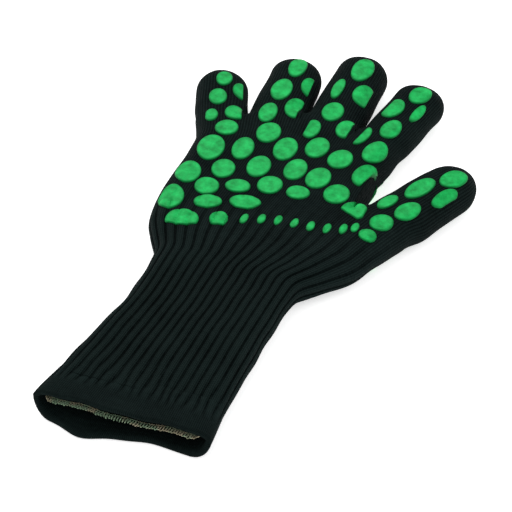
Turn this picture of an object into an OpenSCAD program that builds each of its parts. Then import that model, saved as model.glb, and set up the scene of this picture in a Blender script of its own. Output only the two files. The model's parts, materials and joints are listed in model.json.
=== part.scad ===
// Heat resistant glove: knitted outer shell, cotton lining and silicone grip pads,
// divided at the fold lines so that wrist, knuckles, fingers and thumb bend.
// Millimetres. +Y runs from the cuff mouth to the fingertips, +Z is up out of the palm.

/* [Build] */
// Sub-part to draw, or all of them

/* [Fabric] */
// Half thickness of the flat-lying glove
half_thick = 11; // [9:0.5:13]
// Thickness of the knitted outer shell
knit_wall = 1.8; // [1.2:0.1:2.4]
// Thickness of the cotton lining
lining_wall = 1.4; // [0.8:0.1:2]
// Room between the knit and the lining
lining_room = 0.2; // [0.1:0.05:0.5]
// Facets round an edge
edge_facets = 20; // [16:2:28]

/* [Print] */
// Height of a silicone pad above the knit
pad_rise = 0.9; // [0.5:0.1:1.5]
// Width of a full pad
pad_width = 13.4; // [10:0.2:15]
// Length of a full pad, along the finger
pad_length = 18; // [14:0.5:20]
// Bare margin between the pads and a finger's side
print_margin = 4.3; // [3:0.1:7]
// How far the print on a finger sits toward the thumb's side
print_shift = 2.3; // [0:0.1:3]
// Width of one mark in the row below the pads
mark_width = 4.4; // [3:0.2:6]
// Length of one mark in the row below the pads
mark_length = 8.5; // [6:0.5:10]

/* [Cuff] */
// Length of the smooth band at the mouth
hem_length = 20; // [14:1:26]
// Thickness that the folded band adds outside
hem_wall = 0.9; // [0.6:0.1:1.4]
// Depth of the rolled lip
lip_depth = 2.5; // [2:0.5:4]
// Depth of the overlocked seam inside the mouth
seam_depth = 7; // [5:0.5:10]
// Spacing of the seam's thread loops
loop_pitch = 4; // [3:0.5:6]

/* [Joints] */
// Distance of the wrist fold from the mouth
wrist_y = 128; // [120:1:134]
// Wrist bend toward the palm, degrees
wrist_flex = 45; // [30:5:50]
// Wrist bend toward the back, degrees
wrist_extend = 35; // [20:5:40]
// Distance of the knuckle crease from the mouth, on the centre line
knuckle_y = 233; // [228:1:238]
// Slant of the knuckle crease, degrees
knuckle_slant = 9.5; // [5:0.5:12]
// Knuckle bend toward the back, degrees
knuckle_extend = 15; // [5:1:20]
// Thumb bend toward the back, degrees
thumb_extend = 10; // [0:1:15]
// Half of the gap left at a fold
fold_gap = 0.25; // [0.2:0.05:0.4]

/* [Hidden] */
big = 400;
cut_width = 160;
hull_facets = edge_facets;
rings = edge_facets / 2;
// the outermost ring of a faceted ball stops a little short of its radius
ring_reach = cos(90 / rings);
pad_skin = half_thick + pad_rise;
mid_z = (half_thick + max(pad_rise, hem_wall)) * ring_reach;
top_z = 2 * mid_z;
knit_inner = half_thick - knit_wall;
lining_outer = knit_inner - lining_room;
lining_inner = lining_outer - lining_wall;
seam_wall = 0.6;
pad_facets = 20;
// how much a finger narrows to its tip, and how far its sides stop short of its end
tip_taper = 1.5;
tip_round = 4;
// where the print turns round a fingertip: in from the side and back from the end
TIP_TURN = [[0, 12], [2, 6], [6, 1.5]];
// the frame stands at the middle of the glove's footprint
origin_x = 18.9;
origin_y = 164.9;

// each finger: root x, root y, lean toward +X, length, half widths at root and tip,
// and how far along it the first and the second fold lie
PINKY = [-35, 210, -19, 83, 14.8, 14, 44, 62.5];
RING = [-16, 224.5, -4.5, 91.5, 15.9, 15.3, 38.5, 64];
MIDDLE = [14, 221, -0.5, 109, 16.5, 15.4, 42.5, 76];
INDEX = [35.6, 210, 11, 108.5, 13, 15.3, 51.5, 79.5];
THUMB = [52.5, 157, 26.5, 105.5, 18.4, 16.6, 46, 75];
// outline of the palm in three runs, drawn half a thickness inside its edge
PALM_RUNS = [
    [[-26, 126], [-40.5, 150], [-43.5, 174], [51, 174], [55, 151], [32, 126]],
    [[-40.5, 150], [-43.5, 174], [-42.5, 202], [43, 202], [51, 174], [55, 151]],
    [[-42.5, 200], [-43.5, 240], [42, 240], [43.5, 200]]
];
WEB = [[-42, 205], [-36, 236], [28, 243], [41, 232], [41, 205]];
// outline of the cuff in two straight runs that share a section
CUFF_LOW = [[-47, -14], [-27.5, 84], [31, 84], [33, -14]];
CUFF_HIGH = [[-27.5, 84], [-25.5, 144], [32, 144], [31, 84]];

// pad places on a finger: across it and along it, then length and width where they differ
PINKY_PADS = [
    [4.5, 21, 13, 13.5], [-4.5, 33, 10.5, 7.5], [9, 35, 13.5, 12.5],
    [-1.5, 50, 15, 10.5], [12.5, 57, 15, 12], [1.5, 66.5, 12.5, 9.5]
];
RING_PADS = [
    [3, 10.5, 18.5, 14], [-2.5, 28, 18, 10.5], [12.5, 37, 20, 15],
    [-1, 51, 21, 12], [13.5, 60.5, 16, 11], [2, 74, 19, 10.5]
];
MIDDLE_PADS = [
    [-6.5, 26.5, 16.5, 10], [12.5, 33.5, 17.5], [-0.5, 45.5, 17, 12.5],
    [-4.5, 66, 19, 6.5], [11, 66.5, 18.5, 13.5], [3, 87, 21.5, 12.5]
];
INDEX_PADS = [
    [11.5, 12.5, 21, 14], [-8, 41, 18.5, 9], [5.5, 32.5, 20, 12.5],
    [3, 54.5, 17, 11], [-5.5, 71.5, 19, 12], [8, 76, 17.5, 5],
    [1.5, 90.5, 17.5, 12]
];
THUMB_PADS = [
    [4, 33, 14, 13], [-6, 47.5, 15, 8], [6.5, 20, 9.5, 10.5],
    [7, 50, 17.5, 12], [-2, 68.5, 22, 11.5], [12, 73.5, 19.5, 7.5],
    [4.5, 88, 18.5, 13]
];
// pad places on the palm: x, y, lean, length and width
PALM_PADS = [
    [-39.5, 212, 8, 22.5, 15.5], [-22.5, 217.5, 6, 20, 12.5], [0, 225, 2, 20.5, 13.5],
    [16, 233, 0, 19.5, 13.5], [31.5, 227.5, -4, 18, 14], [-43.5, 187.5, 10, 19.5, 14.5],
    [-26.5, 197.5, 8, 16, 13.5], [-8.5, 205.5, 4, 19.5, 13.5], [11.5, 210, 2, 19.5, 13],
    [26, 207, -2, 19, 14], [40, 198, -6, 17, 14.5], [-44.5, 164.5, 14, 21, 14.5],
    [-29.5, 180, 12, 15.5, 14], [-13.5, 186, 8, 11.5, 14.5], [3, 192.5, 4, 15.5, 14.5],
    [20, 191, 2, 12, 13.5], [-24, 167.5, 14, 11.5, 16], [-4.5, 174, 12, 12, 18],
    [-31.5, 148, 14, 17.5, 18.5], [-13, 155.5, 10, 12.5, 10.5], [53.5, 188.5, -16, 16, 15]
];
// the printed area of the palm
PALM_PRINT = [
    [-51, 142.5], [-30, 143], [-8, 151.5], [4, 175], [24, 184], [45, 188], [60, 181],
    [60, 205], [50, 214], [50, 262], [-50, 262], [-51, 225]
];
// one mark each in the row under the print
MARK_ROW = [
    [0, 160.5], [9, 163.5], [18, 165.5], [27, 166.5], [36, 167.5],
    [45, 169], [53.5, 171.5], [59, 175]
];

function half_at_tip(f) = f[5] - half_thick;
function half_at_root(f) = f[4] - half_thick;
function given(p, k, usual) = len(p) > k ? p[k] : usual;

module place() translate([-origin_x, -origin_y, 0]) children();
module in_finger(f) translate([f[0], f[1], 0]) rotate([0, 0, -f[2]]) children();
module at_knuckle() translate([0, knuckle_y, 0]) rotate([0, 0, knuckle_slant]) children();
module at_wrist() translate([0, wrist_y, 0]) children();
module knot(p, r) translate([p[0], p[1], mid_z]) sphere(r = r, $fn = hull_facets);
module blanket(outline, r) hull() for (p = outline) knot(p, r);

// a finger's full skin, grown or shrunk by its edge radius
module finger_skin(f, r)
{
    root = half_at_root(f);
    tip = half_at_tip(f) - tip_taper;
    in_finger(f)
        hull()
        {
            knot([-root, 0], r);
            knot([root, 0], r);
            knot([-tip, f[3] - half_thick - tip_round], r);
            knot([tip, f[3] - half_thick - tip_round], r);
            knot([0, f[3] - half_thick], r);
        }
}
// everything past a fold: lower is the slope below the axis, upper the slope above it
module beyond(axis_z, lower, upper)
{
    translate([0, fold_gap, axis_z])
        intersection()
        {
            rotate([lower, 0, 0]) translate([-cut_width, 0, -big]) cube([2 * cut_width, big, 2 * big]);
            rotate([-upper, 0, 0]) translate([-cut_width, 0, -big]) cube([2 * cut_width, big, 2 * big]);
        }
}
module before(axis_z, lower, upper) mirror([0, 1, 0]) beyond(axis_z, lower, upper);

// the two runs of a finger beyond the web: 0 is the first, 1 ends in the tip
module finger_run(f, run, extend)
{
    if (run == 0)
        intersection()
        {
            translate([0, f[6], 0]) beyond(top_z, extend / 2, 0);
            translate([0, f[7], 0]) before(top_z, 0, 0);
        }
    else
        translate([0, f[7], 0]) beyond(top_z, 0, 0);
}
module finger_wall(f, run, extend, outer, inner)
{
    place()
        intersection()
        {
            difference()
            {
                finger_skin(f, outer);
                finger_skin(f, inner);
            }
            in_finger(f) finger_run(f, run, extend);
        }
}
module finger_shell(f, run, extend = 0)
    color("#15181a") finger_wall(f, run, extend, half_thick, knit_inner);
module finger_liner(f, run, extend = 0)
    color("#cfc6ae") finger_wall(f, run, extend, lining_outer, lining_inner);

// one pad's outline, as an upright column above or below the middle of the glove
module pad_column(length, width, front)
{
    translate([0, 0, front ? mid_z : mid_z - big])
        linear_extrude(big)
            polygon([
                for (k = [0 : pad_facets - 1])
                    [width / 2 * cos(k * 360 / pad_facets), length / 2 * sin(k * 360 / pad_facets)]
            ]);
}
module finger_columns(f, pads, front)
{
    root = max(f[4], f[5]) - print_margin;
    tip = f[5] - print_margin;
    end = f[3] - print_margin;
    in_finger(f)
        intersection()
        {
            union()
                for (p = pads)
                    translate([p[0], p[1], 0])
                        pad_column(given(p, 2, pad_length), given(p, 3, pad_width), front);
            translate([print_shift, 0, -big])
                linear_extrude(2 * big)
                    polygon(concat(
                        [[-root, 0], [root, 0]],
                        [for (t = TIP_TURN) [tip - t[0], end - t[1]]],
                        [[0, end]],
                        [for (k = [2 : -1 : 0]) [TIP_TURN[k][0] - tip, end - TIP_TURN[k][1]]]
                    ));
        }
}
module palm_columns(front)
{
    intersection()
    {
        union()
            for (p = PALM_PADS)
                translate([p[0], p[1], 0])
                    rotate([0, 0, p[2]])
                        pad_column(p[3], p[4], front);
        translate([0, 0, -big]) linear_extrude(2 * big) polygon(PALM_PRINT);
    }
}
module finger_pads(f, pads, run, front, extend = 0)
{
    color("#25b865")
        place()
            difference()
            {
                intersection()
                {
                    finger_skin(f, pad_skin);
                    finger_columns(f, pads, front);
                    in_finger(f) finger_run(f, run, extend);
                }
                finger_skin(f, half_thick);
            }
}

// the palm runs from the wrist to the knuckle crease and takes in the thumb's root
module palm_full(r)
{
    for (outline = PALM_RUNS)
        blanket(outline, r);
    finger_skin(THUMB, r);
}
module palm_body(r)
{
    intersection()
    {
        union()
        {
            for (outline = PALM_RUNS)
                blanket(outline, r);
            intersection()
            {
                finger_skin(THUMB, r);
                in_finger(THUMB)
                    translate([0, THUMB[6], 0])
                        before(top_z, thumb_extend / 2, 0);
            }
        }
        at_wrist() beyond(mid_z, wrist_extend / 2, wrist_flex / 2);
        at_knuckle() before(top_z, knuckle_extend / 2, 0);
    }
}
module palm_wall(outer, inner)
{
    place()
        difference()
        {
            palm_body(outer);
            palm_full(inner);
        }
}
module palm_print(front)
{
    color("#25b865")
        place()
            difference()
            {
                intersection()
                {
                    palm_body(pad_skin);
                    union()
                    {
                        palm_columns(front);
                        finger_columns(THUMB, THUMB_PADS, front);
                        finger_columns(INDEX, INDEX_PADS, front);
                        finger_columns(RING, RING_PADS, front);
                        finger_columns(PINKY, PINKY_PADS, front);
                    }
                }
                palm_full(half_thick);
            }
}

// the strip between the knuckle crease and the finger folds, with the webs between them
module finger_root(f, r)
{
    intersection()
    {
        finger_skin(f, r);
        in_finger(f) translate([0, f[6], 0]) before(top_z, 0, 0);
    }
}
module knuckle_body(r)
{
    intersection()
    {
        union()
        {
            blanket(WEB, r);
            finger_root(PINKY, r);
            finger_root(RING, r);
            finger_root(MIDDLE, r);
            finger_root(INDEX, r);
        }
        at_knuckle() beyond(top_z, knuckle_extend / 2, 0);
    }
}
module knuckle_hollow(r)
{
    blanket(WEB, r);
    finger_skin(PINKY, r);
    finger_skin(RING, r);
    finger_skin(MIDDLE, r);
    finger_skin(INDEX, r);
}
module knuckle_wall(outer, inner)
{
    place()
        difference()
        {
            knuckle_body(outer);
            knuckle_hollow(inner);
        }
}
module knuckle_print(front)
{
    color("#25b865")
        place()
            difference()
            {
                intersection()
                {
                    knuckle_body(pad_skin);
                    union()
                    {
                        palm_columns(front);
                        finger_columns(PINKY, PINKY_PADS, front);
                        finger_columns(RING, RING_PADS, front);
                        finger_columns(MIDDLE, MIDDLE_PADS, front);
                        finger_columns(INDEX, INDEX_PADS, front);
                    }
                }
                knuckle_hollow(half_thick);
            }
}

// the cuff runs from the mouth to the wrist fold
module cuff_skin(r)
{
    blanket(CUFF_LOW, r);
    blanket(CUFF_HIGH, r);
}
module cuff_span(from)
{
    intersection()
    {
        at_wrist() before(mid_z, wrist_extend / 2, wrist_flex / 2);
        translate([-cut_width, from, -big]) cube([2 * cut_width, big, 2 * big]);
    }
}
module cuff_wall(outer, inner)
{
    place()
        intersection()
        {
            difference()
            {
                cuff_skin(outer);
                cuff_skin(inner);
            }
            cuff_span(lip_depth);
        }
}
module mouth_ring(outer, inner, from, to)
{
    intersection()
    {
        difference()
        {
            blanket(CUFF_LOW, outer);
            blanket(CUFF_LOW, inner);
        }
        translate([-cut_width, from, -big]) cube([2 * cut_width, to - from, 2 * big]);
    }
}

module cuff_shell()
{
    color("#15181a") cuff_wall(half_thick, knit_inner);
}
module cuff_liner()
{
    color("#cfc6ae") cuff_wall(lining_outer, lining_inner);
}
module hem_band()
{
    color("#101214")
        place()
        {
            mouth_ring(half_thick + hem_wall, half_thick, 0, hem_length);
            mouth_ring(half_thick + hem_wall, lining_inner, 0, lip_depth);
        }
}
module overlock_stitch()
{
    color("#d8cfae")
        place()
        {
            mouth_ring(lining_inner, lining_inner - seam_wall, lip_depth, lip_depth + seam_depth);
            intersection()
            {
                mouth_ring(lining_inner, lining_inner - 2 * seam_wall, lip_depth, lip_depth + seam_depth);
                for (k = [-12 : 12])
                    translate([k * loop_pitch - 6, lip_depth, 0]) cube([loop_pitch / 2, big, top_z]);
            }
        }
}
module palm_shell()
{
    color("#15181a") palm_wall(half_thick, knit_inner);
}
module palm_liner()
{
    color("#cfc6ae") palm_wall(lining_outer, lining_inner);
}
module palm_pads()
{
    palm_print(true);
}
module palm_back_pads()
{
    palm_print(false);
}
module motif_marks()
{
    color("#25b865")
        place()
            difference()
            {
                intersection()
                {
                    palm_body(pad_skin);
                    for (p = MARK_ROW)
                        translate([p[0], p[1], 0]) pad_column(mark_length, mark_width, true);
                }
                palm_full(half_thick);
            }
}
module knuckle_shell()
{
    color("#15181a") knuckle_wall(half_thick, knit_inner);
}
module knuckle_liner()
{
    color("#cfc6ae") knuckle_wall(lining_outer, lining_inner);
}
module knuckle_pads()
{
    knuckle_print(true);
}
module knuckle_back_pads()
{
    knuckle_print(false);
}
module pinky_base_shell()
{
    finger_shell(PINKY, 0);
}
module pinky_base_liner()
{
    finger_liner(PINKY, 0);
}
module pinky_base_pads()
{
    finger_pads(PINKY, PINKY_PADS, 0, true);
}
module pinky_base_back_pads()
{
    finger_pads(PINKY, PINKY_PADS, 0, false);
}
module pinky_tip_shell()
{
    finger_shell(PINKY, 1);
}
module pinky_tip_liner()
{
    finger_liner(PINKY, 1);
}
module pinky_tip_pads()
{
    finger_pads(PINKY, PINKY_PADS, 1, true);
}
module pinky_tip_back_pads()
{
    finger_pads(PINKY, PINKY_PADS, 1, false);
}
module ring_base_shell()
{
    finger_shell(RING, 0);
}
module ring_base_liner()
{
    finger_liner(RING, 0);
}
module ring_base_pads()
{
    finger_pads(RING, RING_PADS, 0, true);
}
module ring_base_back_pads()
{
    finger_pads(RING, RING_PADS, 0, false);
}
module ring_tip_shell()
{
    finger_shell(RING, 1);
}
module ring_tip_liner()
{
    finger_liner(RING, 1);
}
module ring_tip_pads()
{
    finger_pads(RING, RING_PADS, 1, true);
}
module ring_tip_back_pads()
{
    finger_pads(RING, RING_PADS, 1, false);
}
module middle_base_shell()
{
    finger_shell(MIDDLE, 0);
}
module middle_base_liner()
{
    finger_liner(MIDDLE, 0);
}
module middle_base_pads()
{
    finger_pads(MIDDLE, MIDDLE_PADS, 0, true);
}
module middle_base_back_pads()
{
    finger_pads(MIDDLE, MIDDLE_PADS, 0, false);
}
module middle_tip_shell()
{
    finger_shell(MIDDLE, 1);
}
module middle_tip_liner()
{
    finger_liner(MIDDLE, 1);
}
module middle_tip_pads()
{
    finger_pads(MIDDLE, MIDDLE_PADS, 1, true);
}
module middle_tip_back_pads()
{
    finger_pads(MIDDLE, MIDDLE_PADS, 1, false);
}
module index_base_shell()
{
    finger_shell(INDEX, 0);
}
module index_base_liner()
{
    finger_liner(INDEX, 0);
}
module index_base_pads()
{
    finger_pads(INDEX, INDEX_PADS, 0, true);
}
module index_base_back_pads()
{
    finger_pads(INDEX, INDEX_PADS, 0, false);
}
module index_tip_shell()
{
    finger_shell(INDEX, 1);
}
module index_tip_liner()
{
    finger_liner(INDEX, 1);
}
module index_tip_pads()
{
    finger_pads(INDEX, INDEX_PADS, 1, true);
}
module index_tip_back_pads()
{
    finger_pads(INDEX, INDEX_PADS, 1, false);
}
module thumb_base_shell()
{
    finger_shell(THUMB, 0, thumb_extend);
}
module thumb_base_liner()
{
    finger_liner(THUMB, 0, thumb_extend);
}
module thumb_base_pads()
{
    finger_pads(THUMB, THUMB_PADS, 0, true, thumb_extend);
}
module thumb_base_back_pads()
{
    finger_pads(THUMB, THUMB_PADS, 0, false, thumb_extend);
}
module thumb_tip_shell()
{
    finger_shell(THUMB, 1);
}
module thumb_tip_liner()
{
    finger_liner(THUMB, 1);
}
module thumb_tip_pads()
{
    finger_pads(THUMB, THUMB_PADS, 1, true);
}
module thumb_tip_back_pads()
{
    finger_pads(THUMB, THUMB_PADS, 1, false);
}

cuff_shell();
cuff_liner();
hem_band();
overlock_stitch();
palm_shell();
palm_liner();
palm_pads();
palm_back_pads();
motif_marks();
knuckle_shell();
knuckle_liner();
knuckle_pads();
knuckle_back_pads();
pinky_base_shell();
pinky_base_liner();
pinky_base_pads();
pinky_base_back_pads();
pinky_tip_shell();
pinky_tip_liner();
pinky_tip_pads();
pinky_tip_back_pads();
ring_base_shell();
ring_base_liner();
ring_base_pads();
ring_base_back_pads();
ring_tip_shell();
ring_tip_liner();
ring_tip_pads();
ring_tip_back_pads();
middle_base_shell();
middle_base_liner();
middle_base_pads();
middle_base_back_pads();
middle_tip_shell();
middle_tip_liner();
middle_tip_pads();
middle_tip_back_pads();
index_base_shell();
index_base_liner();
index_base_pads();
index_base_back_pads();
index_tip_shell();
index_tip_liner();
index_tip_pads();
index_tip_back_pads();
thumb_base_shell();
thumb_base_liner();
thumb_base_pads();
thumb_base_back_pads();
thumb_tip_shell();
thumb_tip_liner();
thumb_tip_pads();
thumb_tip_back_pads();
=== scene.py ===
"""Heat resistant glove: knitted shell, ribbed cuff, rolled hem and silicone pads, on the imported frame."""
import json
import math

import bmesh
import bpy
import numpy as np
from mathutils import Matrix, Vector
from mathutils.bvhtree import BVHTree


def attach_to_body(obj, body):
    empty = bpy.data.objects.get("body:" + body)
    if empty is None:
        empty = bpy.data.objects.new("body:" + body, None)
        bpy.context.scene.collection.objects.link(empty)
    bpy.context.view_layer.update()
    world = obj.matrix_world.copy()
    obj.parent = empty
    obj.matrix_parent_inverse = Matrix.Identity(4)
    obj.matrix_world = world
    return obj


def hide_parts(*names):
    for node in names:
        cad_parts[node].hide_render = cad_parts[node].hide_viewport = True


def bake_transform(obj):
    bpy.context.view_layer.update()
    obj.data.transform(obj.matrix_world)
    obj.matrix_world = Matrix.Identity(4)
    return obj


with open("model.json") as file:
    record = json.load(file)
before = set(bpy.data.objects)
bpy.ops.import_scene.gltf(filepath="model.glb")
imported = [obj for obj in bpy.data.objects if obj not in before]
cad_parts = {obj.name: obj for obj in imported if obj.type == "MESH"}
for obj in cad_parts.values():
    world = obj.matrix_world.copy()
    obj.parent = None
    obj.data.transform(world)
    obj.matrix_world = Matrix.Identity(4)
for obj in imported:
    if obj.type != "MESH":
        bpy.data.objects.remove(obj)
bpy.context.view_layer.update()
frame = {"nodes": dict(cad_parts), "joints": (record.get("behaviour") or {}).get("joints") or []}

MM = 0.001
JOINTS = {j["name"]: j for j in frame["joints"]}
FINGERS = ("pinky", "ring", "middle", "index")

# columns of knit: on one face of a finger, of the thumb, and on half of a web between two fingers
FINGER_COLS, THUMB_COLS, WEB_COLS = 39, 44, 8
PALM_COLS = FINGER_COLS * 4
CUFF_COLS = PALM_COLS + THUMB_COLS
# ribs across one face of the cuff, and how far they stand out
RIBS = 20
RIB_HEIGHT = 1.25
# along the knit, from one ring of corners to the next
COURSE = 1.0
# how far the pads and the row of ovals stand over the knit
PAD_RISE, MARK_RISE = 0.9, 0.6
# how much shorter than its CAD shell each finger but the thumb is
TIP_TRIM = 0.7
# how far in from its edge a section is curved, and how much longer than wide a fingertip's round is
EDGE = 10.5
TIP_ROUND = 2


# ---------- what the frame measures ----------

def node_verts(node):
    """A CAD node's corners in millimetres."""
    co = np.empty(len(frame["nodes"][node].data.vertices) * 3)
    frame["nodes"][node].data.vertices.foreach_get("co", co)
    return co.reshape(-1, 3) / MM


def edge_corners(node):
    """The numbers of the two corners of each edge of a CAD node."""
    mesh = frame["nodes"][node].data
    idx = np.empty(len(mesh.edges) * 2, int)
    mesh.edges.foreach_get("vertices", idx)
    return idx[0::2], idx[1::2]


def node_edges(node):
    """The two ends of each edge of a CAD node."""
    a, b = edge_corners(node)
    co = node_verts(node)
    return co[a], co[b]


def joint_xy(name):
    return np.array(JOINTS[name]["pos_m"][:2]) / MM


class Finger:
    """A finger's own axes: v runs along it from its first fold, u runs across it."""

    def __init__(self, name):
        self.name = name
        self.o = joint_xy(name + "_base_bend")
        self.side = np.array(JOINTS[name + "_base_bend"]["axis"][:2])
        self.along = np.array([-self.side[1], self.side[0]])
        self.fold = (joint_xy(name + "_tip_bend") - self.o) @ self.along
        tip = node_verts(name + "_tip_shell")[:, :2] - self.o
        self.end = (tip @ self.along).max() - (0.0 if name == "thumb" else TIP_TRIM)
        near = self.measured(name + "_base_shell", 3.0)
        far = self.measured(name + "_tip_shell", self.end - 19.0)
        self.slope = (far - near) / (self.end - 22.0)
        self.root_half = near - 3.0 * self.slope
        self.tip_half = self.half(self.end - 16.0)

    def measured(self, node, v):
        """Half the CAD shell's width at v."""
        (ua, va), (ub, vb) = (self.local(e[:, :2]) for e in node_edges(node))
        hit = (va - v) * (vb - v) < 0
        t = (v - va[hit]) / (vb[hit] - va[hit])
        return abs(ua[hit] + t * (ub[hit] - ua[hit])).max()

    def half(self, v):
        return self.root_half + self.slope * v

    def at(self, u, v):
        return self.o + np.multiply.outer(u, self.side) + np.multiply.outer(v, self.along)

    def local(self, p):
        d = np.asarray(p) - self.o
        return d @ self.side, d @ self.along


F = {name: Finger(name) for name in FINGERS + ("thumb",)}
SHELL = node_verts("middle_base_shell")[:, 2]
MID_Z = (SHELL.max() + SHELL.min()) / 2
THICK = (SHELL.max() - SHELL.min()) / 2
WRIST_Y = joint_xy("wrist_bend")[1]
MOUTH_Y = node_verts("hem_band")[:, 1].min()
HEM_Y = node_verts("hem_band")[:, 1].max()
CREASE = joint_xy("knuckle_bend")
CREASE_SIDE = np.array(JOINTS["knuckle_bend"]["axis"][:2])
CREASE_ALONG = np.array([-CREASE_SIDE[1], CREASE_SIDE[0]])


def outline(side):
    """The body's left or right edge: x at each y, read off the CAD shells."""
    ends = [node_edges(node) for node in ("cuff_shell", "palm_shell", "knuckle_shell")]
    a = np.concatenate([e[0] for e in ends])
    b = np.concatenate([e[1] for e in ends])
    grid = np.arange(MOUTH_Y - 6, b[:, 1].max() - 1, 1.0)
    ys, xs = [], []
    for y in grid[grid > a[:, 1].min()]:
        hit = (a[:, 1] - y) * (b[:, 1] - y) < 0
        if hit.any():
            t = (y - a[hit, 1]) / (b[hit, 1] - a[hit, 1])
            x = a[hit, 0] + t * (b[hit, 0] - a[hit, 0])
            ys.append(y)
            xs.append(x.min() if side < 0 else x.max())
    return grid, np.interp(grid, ys, xs)


def soften(line, sigma):
    """A running average with soft ends."""
    reach = int(sigma * 3)
    w = np.exp(-0.5 * (np.arange(-reach, reach + 1) / sigma) ** 2)
    padded = np.concatenate([np.full(reach, line[0]), line, np.full(reach, line[-1])])
    return np.convolve(padded, w / w.sum(), "valid")


def bulge(y, at, reach):
    """A swell one millimetre high round y = at."""
    return np.exp(-((y - at) / reach) ** 2)


def parting(f, g, gap):
    """Where finger f's right edge and finger g's left edge have come gap apart."""
    p, q = f.at(f.half(-20), -20), f.at(f.half(20), 20)
    r, s = g.at(-g.half(-20), -20), g.at(-g.half(20), 20)
    y = np.linspace(max(p[1], r[1]), min(q[1], s[1]), 400)
    right = p[0] + (q[0] - p[0]) * (y - p[1]) / (q[1] - p[1])
    left = r[0] + (s[0] - r[0]) * (y - r[1]) / (s[1] - r[1])
    k = np.argmax(left - right > gap)
    return np.array([(left[k] + right[k]) / 2, y[k]])


def run(points, n):
    """n + 1 points at even steps along a line of points."""
    points = np.asarray(points)
    step = np.linalg.norm(np.diff(points, axis=0), axis=1)
    s = np.concatenate([[0], np.cumsum(step)])
    t = np.linspace(0, s[-1], n + 1)
    return np.stack([np.interp(t, s, points[:, k]) for k in range(points.shape[1])], 1)


# ---------- sections ----------

def half_section(width, n, left=True, right=True, edge=EDGE, thick=None):
    """The upper half of a section: distance from its left end and height, at n + 1 even steps."""
    thick = THICK if thick is None else thick
    edge = min(edge, width / (2 if left and right else 1) - 0.01)
    x = np.concatenate([edge * (1 - np.cos(np.linspace(0, math.pi / 2, 40))),
                        np.linspace(edge, width - edge, 60)[1:-1],
                        width - edge * (1 - np.cos(np.linspace(math.pi / 2, 0, 40)))])
    z = np.full(len(x), thick)
    if left:
        z = np.where(x < edge, thick * np.sqrt(np.clip(1 - (1 - x / edge) ** 2, 0, 1)), z)
    if right:
        far = width - x
        z = np.where(far < edge, thick * np.sqrt(np.clip(1 - (1 - far / edge) ** 2, 0, 1)), z)
    return run(np.stack([x, z], 1), n)


def web_line(p, lean):
    """A web's upper half, from its top edge down to mid-height, leaning out on the way."""
    z = WEB_TOP * np.cos(np.linspace(0, math.pi / 2, WEB_COLS + 1))
    out = lean[None, :] * (1 - (z / WEB_TOP) ** 2)[:, None] * WEB_LEAN
    return np.column_stack([p[None, :] + out, z])


def coons(start, end, left, right):
    """A grid of rings from one line to another, held by its two side lines."""
    rings, cols = len(left), len(start)
    t = np.linspace(0, 1, rings)[:, None, None]
    q = np.linspace(0, 1, cols)[None, :, None]
    corners = ((1 - t) * (1 - q) * start[0] + (1 - t) * q * start[-1]
               + t * (1 - q) * end[0] + t * q * end[-1])
    return (1 - t) * start[None] + t * end[None] + (1 - q) * left[:, None] + q * right[:, None] - corners


def edge_line(points, n, rounds=40):
    """A side line at mid-height, eased between its two ends."""
    p = run(points, n)
    for _ in range(rounds):
        p[1:-1] = (p[:-2] + 2 * p[1:-1] + p[2:]) / 4
    return np.column_stack([p, np.zeros(len(p))])


# ---------- the lines that the knit is stretched between ----------

LEFT_Y, LEFT_X = outline(-1)
RIGHT_Y, RIGHT_X = outline(1)
LEFT_X = soften(LEFT_X, 4) - bulge(LEFT_Y, -4, 20) - 1.2 * bulge(LEFT_Y, MOUTH_Y, 28)
THUMB = F["thumb"]
THUMB_EDGE = THUMB.at(THUMB.half(-4), -4)
THUMB_WEB = THUMB.at(0.8 - THUMB.half(-15), -15)
# how far apart two fingers' edges are where their web lies; below nothing, they still overlap there
WEB_GAPS = (-0.6, 1.8, 1.8)
WEBS = [parting(F[a], F[b], gap) for a, b, gap in zip(FINGERS[:-1], FINGERS[1:], WEB_GAPS)]
PINKY_EDGE = F["pinky"].at(-F["pinky"].half(-5) - 1.6, -5)
INDEX_EDGE = F["index"].at(F["index"].half(-5), -5)
# the crease that runs down from each web: its depth, half its width and its length
WEB_DIP, DIP_WIDE, DIP_LONG = 1.3, 2.2, 4.0
WEB_TOP = THICK - WEB_DIP
# how far a web leans out from its top edge to mid-height
WEB_LEAN = 2.5
# where the straight cuff ends and the heel of the hand starts
START_Y = WRIST_Y - 18
# how far the cuff's upper wall has sunk at the mouth, and how far along it that dies away
SAG, SAG_REACH = 5.0, 75.0
THUMB_LEAN = THUMB.along + np.array([-0.25, 0.1])
THUMB_LEAN /= np.linalg.norm(THUMB_LEAN)
UP = np.array([0.0, 1.0])


def left_at(y):
    return np.column_stack([np.interp(y, LEFT_Y, LEFT_X), y])


# the right edge from the mouth up to the thumb, drawn to where the thumb leaves the hand
LOW = RIGHT_Y < THUMB_EDGE[1] - 2
LOW_Y = np.append(RIGHT_Y[LOW], THUMB_EDGE[1])
LOW_X = soften(np.append(RIGHT_X[LOW], THUMB_EDGE[0]), 4)
LOW_X[-12:] = np.linspace(LOW_X[-12], THUMB_EDGE[0], 12)
LOW_X -= 1.8 * np.clip((WRIST_Y - 40 - LOW_Y) / 60, 0, 1)
LOW_X += 1.5 * bulge(LOW_Y, WRIST_Y, 22) + bulge(LOW_Y, MOUTH_Y, 22)


def right_at(y):
    return np.column_stack([np.interp(y, LOW_Y, LOW_X), y])


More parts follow.
